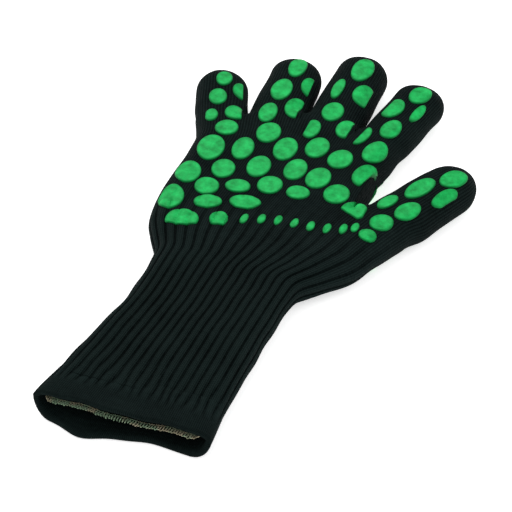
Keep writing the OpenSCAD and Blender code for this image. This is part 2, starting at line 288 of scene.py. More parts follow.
def palm_right():
    """The palm's edge from the thumb's web up to the index finger."""
    high = (RIGHT_Y > THUMB_WEB[1] + 12) & (RIGHT_Y < INDEX_EDGE[1] - 24)
    x = RIGHT_X[high] - 1.0 - 1.8 * bulge(RIGHT_Y[high], THUMB_WEB[1] + 13, 14)
    pts = np.column_stack([x, RIGHT_Y[high]])[::4]
    start = web_line(THUMB_WEB, THUMB_LEAN)[-1, :2]
    return run(np.concatenate([[start], pts, [INDEX_EDGE]]), 400)


def line_between(a, b, cols, left, right):
    """The upper half of a section that runs from a to b."""
    length = np.linalg.norm(b - a)
    section = half_section(length, cols, left, right)
    return np.column_stack([a + section[:, :1] * ((b - a) / length), section[:, 1]])


def split_lines():
    """Where the thumb leaves the hand: the palm's share of the columns and the thumb's."""
    left = left_at(np.array([THUMB_WEB[1] - 16]))[0]
    palm = line_between(left, THUMB_WEB, PALM_COLS, True, False)
    thumb = line_between(THUMB_WEB, THUMB_EDGE, THUMB_COLS, False, True)
    return palm, thumb


def finger_lines():
    """Where the four fingers leave the palm, one line each."""
    stops = [PINKY_EDGE] + WEBS + [INDEX_EDGE]
    out = []
    for i in range(4):
        last = i == 3
        cols = FINGER_COLS + (WEB_COLS if last else 0)
        out.append(line_between(stops[i], stops[i + 1], cols, i == 0, last))
    return out


def ring_at(y, grow=0.0):
    """The upper half of the cuff's section at y."""
    left, right = left_at(np.array([y]))[0], right_at(np.array([y]))[0]
    left[0] -= grow
    right[0] += grow
    sec = half_section(right[0] - left[0], CUFF_COLS, thick=THICK + grow)
    return np.column_stack([left[0] + sec[:, 0], np.full(len(sec), y), sec[:, 1]])


def sag(y):
    """How far the cuff's upper wall has sunk at y: most at the mouth, nothing at the wrist."""
    return SAG * (1 - smooth((y - MOUTH_Y) / SAG_REACH))


def with_dips(p):
    """Lowers the skin where a crease runs down from a web."""
    top = p[..., 2].copy()
    for web, way in [(web, UP) for web in WEBS] + [(THUMB_WEB, THUMB_LEAN)]:
        d = p[..., :2] - web
        v = d @ way
        u = d @ np.array([-way[1], way[0]])
        fall = WEB_DIP * np.exp(-(u / DIP_WIDE) ** 2 - (v / DIP_LONG) ** 2)
        top = np.minimum(top, np.maximum(THICK - fall, WEB_TOP))
    p[..., 2] = np.where(p[..., 2] > WEB_TOP, top, p[..., 2])
    return p


# ---------- the knit's grids ----------

# how much fuller than the CAD shell each finger is, on its left and on its right
FULLER = {"pinky": (2.4, 2.4), "ring": (0.9, 2.2), "middle": (1.0, 1.4), "index": (1.5, 0.9),
          "thumb": (0.0, 2.0)}
# what is left open between two fingers, on each one's side
HAIR = 0.25
# how far along a finger its own section takes over from its first line
TAKE_OVER = 12.0
# rings of corners over the heel of the hand and over the palm, and those of the heel that are the cuff's
HEEL_RINGS, PALM_RINGS, CUFF_SHARE = 88, 60, 42


def room(f, g, side):
    """Half the space between f's side and its neighbour's, less a hair, along f."""
    w = np.linspace(-30, 110, 141)
    u, v = f.local(g.at(-side * g.half(w), w))
    return v, (side * u - f.half(v)) / 2 - HAIR


ROOM = {}
for one, other in zip(FINGERS[:-1], FINGERS[1:]):
    ROOM[one, 1] = room(F[one], F[other], 1)
    ROOM[other, -1] = room(F[other], F[one], -1)


def half_width(f, side, v):
    """A finger's half width on one side, filled out as far as its neighbour leaves room."""
    more = FULLER[f.name][side > 0] * smooth((v + 20) / 24.0)
    if (f.name, side) in ROOM:
        more = min(more, max(float(np.interp(v, *ROOM[f.name, side])), 0.0))
    return f.half(v) + more


def smooth(t):
    t = np.clip(t, 0, 1)
    return t * t * (3 - 2 * t)


def tube_ring(f, v, cols):
    """The upper half of a finger's section at v, in its own u, v and height."""
    radius = f.tip_half + TIP_ROUND
    over = (v - (f.end - radius)) / radius
    share = math.sqrt(max(1 - over ** 2, 0)) if over > 0 else 1.0
    left, right = half_width(f, -1, v) * share, half_width(f, 1, v) * share
    wide = (left + right) / 2
    thick = THICK * share
    if wide < 0.2 or thick < 0.2:
        return np.column_stack([np.zeros(cols + 1), np.full(cols + 1, v), np.zeros(cols + 1)])
    sec = half_section(2 * wide, cols, edge=min(EDGE, wide * 0.9), thick=thick)
    return np.column_stack([sec[:, 0] - left, np.full(cols + 1, v), sec[:, 1]])


def tube(f, start, border):
    """A finger's grid from its first line to its tip, and the number of the ring on the border."""
    cols = len(start) - 1
    u0, v0 = f.local(start[:, :2])
    near = max(int(round((border - v0.mean()) / COURSE)), 6)
    rings = []
    for k in range(near + 1):
        v = v0 + (border - v0) * k / near
        full = tube_ring(f, float(np.mean(v)), cols)
        s = smooth((v - v0) / TAKE_OVER)
        u = u0 + (full[:, 0] - u0) * s
        rings.append(np.column_stack([u, v, start[:, 2] + (full[:, 2] - start[:, 2]) * s]))
    straight = np.arange(border + COURSE, f.end - f.tip_half - TIP_ROUND, COURSE)
    cap = f.end - (f.tip_half + TIP_ROUND) * (1 - np.sin(np.linspace(0, math.pi / 2, 26)))
    for v in np.concatenate([straight, cap[1:]]):
        rings.append(tube_ring(f, v, cols))
    grid = np.array(rings)
    xy = f.at(grid[..., 0], grid[..., 1])
    return np.concatenate([xy, grid[..., 2:]], -1), near


class Zone:
    """Where a finger's skin turns at its two folds, along v, and where its two pieces meet."""

    def __init__(self, f, webs, edges=()):
        first = max([f.local(w)[1] + 2.8 for w in webs] + [f.local(e)[1] + 0.5 for e in edges])
        start = max(first, -7.0)
        half = min(10.0, f.fold * 0.44)
        self.base = (start, min(start + 15, f.fold - half - 0.5))
        self.tip = (f.fold - half, f.fold + half)
        self.border = (self.base[1] + self.tip[0]) / 2


ZONES = {"pinky": Zone(F["pinky"], WEBS[:1], [PINKY_EDGE]), "ring": Zone(F["ring"], WEBS[:2]),
         "middle": Zone(F["middle"], WEBS[1:]), "index": Zone(F["index"], WEBS[2:], [INDEX_EDGE]),
         "thumb": Zone(THUMB, [THUMB_WEB], [THUMB_EDGE])}


def lower_grids(palm, thumb):
    """The cuff and the heel of the hand, in two pieces that meet near the wrist."""
    cuff = np.array([ring_at(y) for y in np.arange(HEM_Y - 3, START_Y + 0.01, COURSE)])
    end = np.concatenate([palm, thumb[1:]])
    left = edge_line(left_at(np.linspace(cuff[-1, 0, 1], palm[0, 1], 200)), HEEL_RINGS, 10)
    right = edge_line(right_at(np.linspace(cuff[-1, 0, 1], THUMB_EDGE[1], 200)), HEEL_RINGS, 10)
    whole = np.concatenate([cuff, coons(cuff[-1], end, left, right)[1:]])
    turn = len(cuff) + CUFF_SHARE
    return [("lower", whole[:turn + 1], 0, "lower"), ("heel", whole[turn:], 0, "palm")]


def palm_grid(palm, web, lines):
    """The palm, from the thumb's web up to where the fingers leave it."""
    end = np.concatenate([lines[0]] + [line[1:] for line in lines[1:]])
    left = left_at(np.linspace(palm[0, 1], PINKY_EDGE[1] - 8, 200))
    left = edge_line(np.concatenate([left, [PINKY_EDGE]]), PALM_RINGS)
    right = edge_line(palm_right(), PALM_RINGS)
    return [("palm", coons(np.concatenate([palm, web[1:]]), end, left, right), 0, "palm")]


def tube_grids(name, start, first):
    """A finger's two pieces, from the line where it leaves the hand."""
    grid, border = tube(F[name], start, ZONES[name].border)
    return [(name, grid[:border + 1], first, name + "_base"), (name, grid[border:], first, name + "_tip")]


def finger_grids(lines):
    """The four fingers, each with the halves of the webs beside it."""
    out = []
    for i, name in enumerate(FINGERS):
        before = [web_line(WEBS[i - 1], UP)[::-1][:-1]] if i > 0 else []
        after = [web_line(WEBS[i], UP)[1:]] if i < len(WEBS) else []
        start = np.concatenate(before + [lines[i]] + after)
        out += tube_grids(name, start, FINGER_COLS * i - (WEB_COLS if i else 0))
    return out


def grids():
    """Every grid of the knit: name, points, first column's number, piece that it belongs to."""
    palm, thumb = split_lines()
    web = web_line(THUMB_WEB, THUMB_LEAN)
    lines = finger_lines()
    start = np.concatenate([web[::-1][:-1], thumb])
    return (lower_grids(palm, thumb) + palm_grid(palm, web, lines) + finger_grids(lines)
            + tube_grids("thumb", start, PALM_COLS - WEB_COLS))


# ---------- one welded skin ----------

# corners are welded on a grid of this many steps to the millimetre
WELD_STEPS = 200


def grid_faces(number, course, sign):
    """The quads of a grid's upper or lower face, and a column and a course for each of their corners."""
    rings, cols = len(course), len(number)
    i, j = np.meshgrid(np.arange(rings - 1), np.arange(cols - 1), indexing="ij")
    a = (i * cols + j).ravel()
    quad = np.stack([a, a + 1, a + cols + 1, a + cols], 1)
    u = np.stack([number[j], number[j] + 1, number[j] + 1, number[j]], -1).reshape(-1, 4)
    v = np.stack([course[i], course[i], course[i + 1], course[i + 1]], -1).reshape(-1, 4)
    corner = np.stack([u * sign, v], -1)
    return (quad, corner) if sign > 0 else (quad[:, ::-1], corner[:, ::-1])


class Skin:
    """The whole knit as one welded surface, with a column and a course at every corner."""

    def __init__(self, patches):
        points, quads, uv, ribs, piece = [], [], [], [], []
        for name, grid, first, who in patches:
            grid = with_dips(grid)
            number = np.arange(grid.shape[1]) + first
            course = self.courses(name, grid)
            for sign in (1, -1):
                flat = grid.reshape(-1, 3).copy()
                flat[:, 2] *= sign
                if sign > 0:
                    flat[:, 2] *= 1 - sag(flat[:, 1]) / THICK
                quad, corner = grid_faces(number, course, sign)
                quads.append(quad + sum(map(len, points)))
                points.append(flat)
                ribs.append(np.tile(number.astype(float), len(grid)))
                uv.append(corner)
                piece += [who] * len(quad)
        self.join(*map(np.concatenate, (points, quads, uv, ribs)), np.array(piece))

    def courses(self, name, grid):
        """How far along the knit each ring lies, in millimetres."""
        middle = grid[:, grid.shape[1] // 2, :2]
        step = np.linalg.norm(np.diff(middle, axis=0), axis=1)
        start = {"lower": 0.0, "heel": 300.0, "palm": 600.0}.get(name, 900.0)
        return start + np.concatenate([[0], np.cumsum(step)])

    def join(self, points, quads, uv, ribs, piece):
        """Makes one corner of those that lie together, and drops the quads that this closes up."""
        key = np.round(points * WELD_STEPS).astype(np.int64)
        key[:, 2] += (abs(key[:, 2]) < 2) * -key[:, 2]
        _, first, back = np.unique(key, axis=0, return_index=True, return_inverse=True)
        self.co = points[first].astype(float)
        self.co[:, 2] += MID_Z
        self.rib = ribs[first]
        a = back.ravel()[quads]
        good = (a[:, 0] != a[:, 2]) & (a[:, 1] != a[:, 3])
        self.quads, self.uv, self.piece = a[good], uv[good], piece[good]

    def normals(self):
        q = self.co[self.quads]
        face = np.cross(q[:, 2] - q[:, 0], q[:, 3] - q[:, 1])
        out = np.zeros_like(self.co)
        for k in range(4):
            np.add.at(out, self.quads[:, k], face)
        return out / np.maximum(np.linalg.norm(out, axis=1), 1e-9)[:, None]


def rib_height(column, x, y):
    """Ribs on the cuff: they die away over the palm and on the hem, and bunch where the hem holds them."""
    held = 1 - smooth((y - HEM_Y + 8) / 30)
    column = column + held * (3.2 * np.sin(x * 0.105 + 0.6) + 1.4 * np.sin(x * 0.31 + y * 0.2))
    turn = np.abs(np.cos(math.pi * column * RIBS / CUFF_COLS))
    size = RIB_HEIGHT * (1 - smooth((y - WRIST_Y + 5) / 75)) * smooth((y - MOUTH_Y - 8) / 9)
    return size * (turn ** 0.6 - 0.6)


def lumps(p):
    """Slow swells, so that the skin isn't a machined surface."""
    x, y, z = p.T
    a = np.sin(x * 0.071 + 1.3) * np.sin(y * 0.053 + 0.4)
    b = np.sin(x * 0.13 + y * 0.09 + 2.1) * np.sin(y * 0.117 - x * 0.05 + z * 0.1)
    c = np.sin(x * 0.31 + 0.7) * np.sin(y * 0.27 + 1.9)
    return 0.55 * a + 0.35 * b + 0.12 * c


# the skin flattens where it comes this near to what it lies on, to this share of its swell
FLOOR_GAP, FLATTENED = 0.6, 0.25


def build_skin():
    skin = Skin(grids())
    n = skin.normals()
    ribs = rib_height(skin.rib, skin.co[:, 0], skin.co[:, 1])
    skin.co += n * (ribs + lumps(skin.co))[:, None]
    # the rib heights are also kept to paint shade into the valleys between ribs and light onto their crests
    skin.ribs = ribs
    floor = MID_Z - THICK + FLOOR_GAP
    low = skin.co[:, 2] < floor
    skin.co[low, 2] = floor - (floor - skin.co[low, 2]) * FLATTENED
    return skin


# ---------- pieces of knit ----------

def mesh_object(name, points, faces, material):
    """A smooth piece from points in millimetres."""
    mesh = bpy.data.meshes.new(name)
    mesh.from_pydata((np.asarray(points) * MM).tolist(), [], [list(map(int, f)) for f in faces])
    mesh.materials.append(material)
    mesh.polygons.foreach_set("use_smooth", [True] * len(mesh.polygons))
    mesh.update()
    obj = bpy.data.objects.new(name, mesh)
    bpy.context.scene.collection.objects.link(obj)
    return obj


def set_uv(mesh, uv):
    """Columns and courses of knit at each face corner."""
    layer = mesh.uv_layers.new(name="knit")
    layer.data.foreach_set("uv", np.asarray(uv, np.float32).ravel())


def set_value(mesh, name, values):
    layer = mesh.attributes.new(name, "FLOAT", "POINT")
    layer.data.foreach_set("value", np.asarray(values, np.float32))


def knit_piece(skin, normals, who, name, material):
    """One piece of the skin, its corners' normals kept so that no line shows where pieces meet."""
    take = skin.piece == who
    quads = skin.quads[take]
    used, back = np.unique(quads, return_inverse=True)
    back = back.reshape(quads.shape)
    faces = [list(dict.fromkeys(q.tolist())) for q in back]
    obj = mesh_object(name, skin.co[used], faces, material)
    uv = [c for q, corners in zip(back, skin.uv[take])
          for i, c in enumerate(corners) if q[i] not in q[:i]]
    set_uv(obj.data, uv)
    # rib heights, which the knit's colour turns into painted shade in the valleys and painted light on the
    # crests
    set_value(obj.data, "ribs", skin.ribs[used])
    obj.data.normals_split_custom_set_from_vertices(normals[used].tolist())
    return obj


def row_point(xy, z=MID_Z):
    return (float(xy[0]) * MM, float(xy[1]) * MM, float(z) * MM)


def bend_for(who):
    """The names of the two bodies on either side of a piece's fold, and two points that span the fold."""
    if who == "lower":
        return "palm", "cuff", (0, WRIST_Y + 12), (0, WRIST_Y - 12)
    if who == "palm":
        return "palm", "knuckles", CREASE - CREASE_ALONG * 12, CREASE + CREASE_ALONG * 8.5
    name, part = who.rsplit("_", 1)
    f, zone = F[name], ZONES[name]
    if part == "tip":
        return name + "_base", name + "_tip", f.at(0, zone.tip[0]), f.at(0, zone.tip[1])
    root = "palm" if name == "thumb" else "knuckles"
    return root, name + "_base", f.at(0, zone.base[0]), f.at(0, zone.base[1])


def attach(obj, who):
    a, b, start, end = bend_for(who)
    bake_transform(obj)
    return obj


SHELLS = {"lower": ("cuff_shell",), "palm": ("palm_shell", "palm_liner", "knuckle_shell", "knuckle_liner")}
for finger in FINGERS + ("thumb",):
    for part in ("base", "tip"):
        node = finger + "_" + part
        SHELLS[node] = (node + "_shell", node + "_liner")
KNIT_NAMES = {"lower": "knit_cuff", "palm": "knit_palm"}


def make_knit(skin, material):
    normals = skin.normals()
    for who, nodes in SHELLS.items():
        obj = knit_piece(skin, normals, who, KNIT_NAMES.get(who, "knit_" + who), material)
        attach(obj, who)
        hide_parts(*nodes)


# ---------- silicone ----------

def islands(node):
    """The outlines, seen from above, of the separate solids in a CAD node."""
    co = node_verts(node)
    key, back = np.unique(np.round(co * 50).astype(int), axis=0, return_inverse=True)
    back = back.ravel()
    a, b = (back[corner] for corner in edge_corners(node))
    label = np.arange(len(key))
    while True:
        low = label.copy()
        np.minimum.at(low, a, label[b])
        np.minimum.at(low, b, label[a])
        low = low[low]
        if (low == label).all():
            break
        label = low
    return [hull(key[label == k][:, :2] / 50.0) for k in np.unique(label)]


def hull(points):
    """The convex outline of some points, anticlockwise."""
    pts = sorted(set(map(tuple, points)))
    out = []
    for line in (pts, pts[::-1]):
        chain = []
        for p in line:
            while len(chain) > 1 and turn_of(chain[-2], chain[-1], p) <= 1e-9:
                chain.pop()
            chain.append(p)
        out += chain[:-1]
    return np.array(out)


def turn_of(a, b, c):
    return (b[0] - a[0]) * (c[1] - a[1]) - (b[1] - a[1]) * (c[0] - a[0])


def area(p):
    q = np.roll(p, -1, axis=0)
    return abs((p[:, 0] * q[:, 1] - q[:, 0] * p[:, 1]).sum()) / 2


def joined(outlines):
    """The outlines, with the halves of a dot that a fold cuts made one again."""
    outlines = list(outlines)
    i = 0
    while i < len(outlines):
        for j in range(i + 1, len(outlines)):
            if np.linalg.norm(outlines[i].mean(0) - outlines[j].mean(0)) > 18:
                continue
            both = hull(np.concatenate([outlines[i], outlines[j]]))
            if area(both) < 1.065 * (area(outlines[i]) + area(outlines[j])):
                outlines[i] = both
                del outlines[j]
                i = -1
                break
        i += 1
    return outlines


def dot_outline(points, n=64):
    """n even points round an outline, its corners eased."""
    p = run(np.concatenate([points, points[:1]]), n)[:-1]
    for _ in range(2):
        p = (np.roll(p, 1, 0) + 2 * p + np.roll(p, -1, 0)) / 4
    return p


# how far in the painted shade on a dot's edge wall reaches; then for each ring its inset from the edge and
# its share of the rise; then the rings of the flat middle, as shares of its size
RIM_SHADE_WIDE = 1.2
RIM = ((0.0, -0.45), (0.0, 0.3), (0.18, 0.72), (0.5, 0.98), (0.9, 1.0), (1.5, 0.84))
FLAT = (0.8, 0.6, 0.4, 0.2)


def dot_rings(outline):
    """Rings from a dot's edge to its middle: points, height, and how near the rim they are, which sets the
    painted shade on the dot's edge wall.
    """
    middle = outline.mean(0)
    size = np.sqrt(area(outline) / math.pi)
    out = []
    for inset, high in RIM:
        near = 1 - min(inset / RIM_SHADE_WIDE, 1)
        out.append((middle + (outline - middle) * (1 - inset / size), high, near))
    inset, high = RIM[-1]
    for share in FLAT:
        out.append((middle + (outline - middle) * (1 - inset / size) * share, high, 0.0))
    out.append((middle[None], high, 0.0))
    return out


# well clear of the glove, above or below it
CLEAR = 60
# how far in from the palm's edge the dots of each face stay, and those of a finger's back from its sides
FRONT_MARGIN, BACK_MARGIN = 2.2, 6.0


class Dots:
    """A mesh of dots laid on the knit, from above or from below."""

    def __init__(self, tree, side, rise):
        self.tree, self.side, self.rise = tree, side, rise
        self.points, self.faces, self.rim_shade = [], [], []

    def lay(self, xy, high):
        """A point of silicone over the knit, pushed out along the knit's own normal."""
        start = Vector((xy[0], xy[1], MID_Z + self.side * CLEAR))
        hit, normal, _, _ = self.tree.ray_cast(start, Vector((0, 0, -self.side)), CLEAR - 0.5)
        if hit is None:
            hit, normal, _, _ = self.tree.find_nearest(Vector((xy[0], xy[1], MID_Z + self.side * THICK)))
        if normal.z * self.side < 0:
            normal = -normal
        p = hit + normal * high * self.rise
        return p if self.side > 0 else Vector((p.x, p.y, max(p.z, 0.05)))

    def add(self, outline):
        base = None
        for ring, high, near in dot_rings(dot_outline(outline)):
            first = len(self.points)
            self.points += [self.lay(p, high) for p in ring]
            # how much painted shade each ring gets: most on the dot's edge wall
            self.rim_shade += [near] * len(ring)
            n = len(ring)
            if base is not None and n > 1:
                for k in range(n):
                    self.faces.append([base + k, base + (k + 1) % n, first + (k + 1) % n, first + k])
            if n == 1:
                m = first - base
                self.faces += [[base + k, base + (k + 1) % m, first] for k in range(m)]
            base = first

    def object(self, name, material):
        faces = self.faces if self.side > 0 else [f[::-1] for f in self.faces]
        obj = mesh_object(name, self.points, faces, material)
        set_value(obj.data, "rim_shade", self.rim_shade)
        return obj


def owner(outline):
    """The finger that a dot lies on, or None for the palm."""
    middle = outline.mean(0)
    for name, f in F.items():
        u, v = f.local(middle)
        if abs(u) < f.half(v) + 1 and f.local(outline)[1].max() > ZONES[name].base[0]:
            return name
    return None


def off_the_palm_side(outline, margin):
    """Draws a dot in, so that it doesn't run over the palm's edge on the pinky's side."""
    x, y = outline.T
    low = np.interp(y, LEFT_Y, LEFT_X) + margin
    return np.column_stack([np.maximum(x, low), y])


def off_the_sides(outline, f):
    """Draws a dot in, so that it doesn't run up the finger's side wall."""
    u, v = f.local(outline)
    wide = f.half(v) - BACK_MARGIN
    return f.at(0, 0) + np.clip(u, -wide, wide)[:, None] * f.side + v[:, None] * f.along


def drawn_in(outline, name, side):
    """A dot as it is laid: as the CAD has it on the front of a finger, and drawn in elsewhere."""
    if not name:
        return off_the_palm_side(outline, FRONT_MARGIN if side > 0 else BACK_MARGIN)
    return outline if side > 0 else off_the_sides(outline, F[name])


def keep_between(obj, f, low, high):
    """Cuts a piece of silicone so that only what lies between two lines across a finger is left."""
    bm = bmesh.new()
    bm.from_mesh(obj.data)
    way = Vector((f.along[0], f.along[1], 0))
    for v, sign in ((low, -1), (high, 1)):
        if v is None:
            continue
        geom = bm.verts[:] + bm.edges[:] + bm.faces[:]
        bmesh.ops.bisect_plane(bm, geom=geom, plane_co=row_point(f.at(0, v)), plane_no=way * sign,
                               clear_outer=True, clear_inner=False)
    bm.to_mesh(obj.data)
    bm.free()
    return obj


def finish_dots(obj, who, nodes):
    attach(obj, who)
    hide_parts(*nodes)


def pad_nodes(side):
    """The CAD nodes that hold the pads of one face."""
    back = [n for n in frame["nodes"] if n.endswith("_back_pads")]
    return back if side < 0 else [n for n in frame["nodes"] if n.endswith("_pads") and n not in back]


def lay_dots(tree, side):
    """The dots of one face: the palm's, and those of each finger."""
    palm = Dots(tree, side, PAD_RISE)
    fingers = {name: Dots(tree, side, PAD_RISE) for name in F}
    for outline in joined([o for n in pad_nodes(side) for o in islands(n)]):
        name = owner(outline)
        (fingers[name] if name else palm).add(drawn_in(outline, name, side))
    return palm, fingers


def make_finger_dots(name, dots, word, tail, material):
    """A finger's dots in two pieces, and what is left of them over the palm."""
    f, zone = F[name], ZONES[name]
    for part, low, high in (("base", zone.base[0], zone.border), ("tip", zone.border, None)):
        obj = dots.object("dots_" + name + "_" + part + "_" + word, material)
        keep_between(obj, f, low, high)
        finish_dots(obj, name + "_" + part, [name + "_" + part + tail])
    rest = dots.object("dots_" + name + "_root_" + word, material)
    return keep_between(rest, f, None, zone.base[0])


def make_dots(skin, material):
    """The silicone on both faces of the glove, in one piece for each piece of knit."""
    faces = [list(dict.fromkeys(q)) for q in skin.quads.tolist()]
    tree = BVHTree.FromPolygons(skin.co.tolist(), faces)
    for side, word, tail in ((1, "front", "_pads"), (-1, "back", "_back_pads")):
        palm, fingers = lay_dots(tree, side)
        parts = [palm.object("dots_palm_" + word, material)]
        for name, dots in fingers.items():
            parts.append(make_finger_dots(name, dots, word, tail, material))
        finish_dots(join_objects(parts), "palm", ["palm" + tail, "knuckle" + tail])
    marks = Dots(tree, 1, MARK_RISE)
    for outline in islands("motif_marks"):
        marks.add(outline)
    finish_dots(marks.object("motif_ovals", material), "palm", ["motif_marks"])


def join_objects(parts):
    """One object out of several, the first one's name kept."""
    bm = bmesh.new()
    for obj in parts:
        bm.from_mesh(obj.data)
    bm.to_mesh(parts[0].data)
    bm.free()
    for obj in parts[1:]:
        bpy.data.objects.remove(obj)
    return parts[0]


# ---------- the mouth: hem, lining and overlocked edge ----------

def mouth_ring(y, grow, drop=0.0, tilt=0.0):
    """A whole section of the mouth: its upper wall let down by drop, its lower one set back by tilt."""
    top = ring_at(y, grow)
    bottom = top[1:-1][::-1].copy()
    bottom[:, 2] *= -1
    x, z = np.concatenate([top, bottom])[:, (0, 2)].T
    z = z / THICK
    top[:, 2] *= 1 - (drop + sag(y)) / (THICK + grow)
    ring = np.concatenate([top, bottom])
    lip = np.where(z > 0, -1.8, 2.2) * z + 0.8 * np.sin(x * 0.11 + 1.0) + 0.4 * np.sin(x * 0.27 + z * 2.0)
    for at, out, reach in LIP_SAGS:
        lip -= out * bulge(x, at, reach) * smooth(0.4 - z)
    ring[:, 1] += lip * (1 - smooth((y - MOUTH_Y) / 16.0)) + tilt * smooth((0.7 - z) / 0.9)
    if tilt:
        share = (x - x.min()) / (x.max() - x.min())
        left, right = left_at(ring[:, 1])[:, 0] - grow, right_at(ring[:, 1])[:, 0] + grow
        ring[:, 0] = left + share * (right - left)
    ring[:, 2] = np.maximum(ring[:, 2] + MID_Z, 0.03)
    return ring


def mouth_columns():
    """The number of the rib column at each point of a mouth ring."""
    top = np.arange(CUFF_COLS + 1)
    return np.concatenate([top, top[1:-1][::-1]]).astype(float)


def sweep(rings, closed=False):
    """Faces between rings of the same length that each run all the way round."""
    rings = np.asarray(rings)
    count, n = rings.shape[:2]
    faces = []
    for i in range(count if closed else count - 1):
        a, b = i * n, (i + 1) % count * n
        faces += [[a + k, a + (k + 1) % n, b + (k + 1) % n, b + k] for k in range(n)]
    return rings.reshape(-1, 3), faces


# the rolled lip's radius, and how far out over the cuff's own section the band stands
LIP_R, BAND_OUT = 1.7, 0.7
# where the lower lip hangs out, how far, and over what width
LIP_SAGS = ((-46.0, 8.8, 17.0), (-78.0, -1.5, 10.0), (13.0, 2.2, 10.0))
# how far inside the cuff's section the lining lies, and how far its lower wall is set back
LINING_IN, LINING_TILT = -3.3, 28.0


def hem_profile():
    """Where the band's rings lie and how far out: over the ribs' ends and down, then round and back up."""
    wall = [(HEM_Y + 4.0, -0.8), (HEM_Y + 2.6, -0.1), (HEM_Y + 1.2, 0.03)]
    wall += [(y, 0.05 + 0.65 * (HEM_Y - y) / 20) for y in np.arange(HEM_Y, MOUTH_Y + LIP_R, -0.9)]
    turn = np.linspace(0, math.pi, 13)
    lip = [(MOUTH_Y + LIP_R * (1 - math.sin(t)), BAND_OUT - LIP_R * (1 - math.cos(t))) for t in turn]
    inside = [(y, BAND_OUT - 2 * LIP_R) for y in np.arange(MOUTH_Y + LIP_R + 1.5, MOUTH_Y + 26, 1.5)]
    return wall, lip + inside


def make_hem(material):
    """The band over the ribs' ends, with its rolled lip."""
    wall, rolled = hem_profile()
    rings = [mouth_ring(y, grow) for y, grow in wall + rolled]
    points, faces = sweep(rings)
    n = len(rings[0])
    outer = np.repeat([1.0] * len(wall) + [0.0] * len(rolled), n)
    columns = np.tile(mouth_columns(), len(rings))
    x, y = points[:, 0], points[:, 1]
    swell = 0.3 * np.sin(x * 0.09 + 0.6) * np.sin(y * 0.31)
    ribs = outer * rib_height(columns, x, y)
    points[:, 2] += np.where(points[:, 2] > MID_Z, ribs + swell, -ribs)
    points[:, 2] = np.maximum(points[:, 2], 0.03)
    obj = mesh_object("hem", points, [f[::-1] for f in faces], material)
    set_uv(obj.data, ring_uv(faces, n, 1.0, flipped=True))
    # rib heights, which the knit's colour turns into painted shade in the valleys and painted light on the
    # crests
    set_value(obj.data, "ribs", ribs)
    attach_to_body(obj, "cuff")
    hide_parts("hem_band")


def ring_uv(faces, n, step, flipped=False):
    """Columns and courses for the corners of swept rings, whose faces may have been turned over."""
    order = (3, 2, 1, 0) if flipped else (0, 1, 2, 3)
    return [(f[0] % n + (k in (1, 2)), step * (f[0] // n + (k > 1))) for f in faces for k in order]


def lining_drop(k):
    """The lining's raw edge hangs a little away from the upper wall."""
    return 1.4 * (1 - smooth(k / 9.0))


def make_lining(material):
    rings = []
    for k, y in enumerate(np.arange(MOUTH_Y + 0.8, MOUTH_Y + 60, 2.0)):
        rings.append(mouth_ring(y, LINING_IN, lining_drop(k), LINING_TILT * (1 - smooth(k / 24.0))))
    points, faces = sweep(rings)
    obj = mesh_object("lining", points, faces, material)
    set_uv(obj.data, ring_uv(faces, len(rings[0]), 2.0))
    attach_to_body(obj, "cuff")
    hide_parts("cuff_liner")


def tube_along(path, radius, sides=6):
    """A thread: rings round a line of points."""
    path = np.asarray(path)
    ahead = np.roll(path, -1, 0) - path
    ahead[-1] = ahead[-2]
    ahead /= np.linalg.norm(ahead, axis=1)[:, None]
    up = np.array([0.31, 0.17, 0.94])
    side = np.cross(ahead, up)
    side /= np.linalg.norm(side, axis=1)[:, None]
    over = np.cross(side, ahead)
    turn = np.arange(sides) * 2 * math.pi / sides
    return path[:, None] + radius * (np.cos(turn)[None, :, None] * side[:, None]
                                     + np.sin(turn)[None, :, None] * over[:, None])


# between two turns of the overlock, and steps to a turn; then the radius of its thread and of its chain
OVERLOCK_PITCH, OVERLOCK_STEPS = 1.5, 12
THREAD_R, CHAIN_R = 0.26, 0.28
CHAIN_STEPS = 500


def overlock_path(edge):
    """The thread's line: round and round an edge, each turn reaching a little further or less far."""
    rng = np.random.default_rng(7)
    length = np.linalg.norm(np.diff(edge, axis=0), axis=1).sum()
    turns = int(length / OVERLOCK_PITCH)
    line = run(edge, turns * OVERLOCK_STEPS)
    middle = np.array([edge[:, 0].mean(), 0, MID_Z])
    out = line - middle
    out[:, 1] = 0
    out /= np.maximum(np.linalg.norm(out * [0.12, 1, 1], axis=1), 1e-6)[:, None]
    out[:, 0] *= 0.12
    angle = np.arange(len(line)) * 2 * math.pi / OVERLOCK_STEPS
    reach = np.repeat(rng.uniform(1.2, 2.3, turns + 1), OVERLOCK_STEPS)[:len(line)]
    path = line + out * (0.75 * np.cos(angle))[:, None]
    path[:, 1] += reach * np.sin(angle) - 0.4
    path[:, 2] = np.maximum(path[:, 2], 0.6)
    return path


def make_overlock(material):
    """Thread wound round the lining's raw edge, and the chain that runs along it."""
    edge = mouth_ring(MOUTH_Y + 0.6, LINING_IN, lining_drop(0), LINING_TILT)
    edge = np.concatenate([edge, edge[:1]])
    points, faces = sweep(tube_along(overlock_path(edge), THREAD_R))
    obj = mesh_object("overlock", points, faces, material)
    chain = run(edge + [0, 1.2, 0], CHAIN_STEPS)[:-1]
    chain[:, 0] += 0.25 * np.sin(np.arange(CHAIN_STEPS) * 1.9)
    more, link = sweep(tube_along(chain, CHAIN_R), closed=True)
    join_objects([obj, mesh_object("overlock_chain", more, link, material)])
    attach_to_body(obj, "cuff")
    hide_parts("overlock_stitch")


# ---------- materials ----------

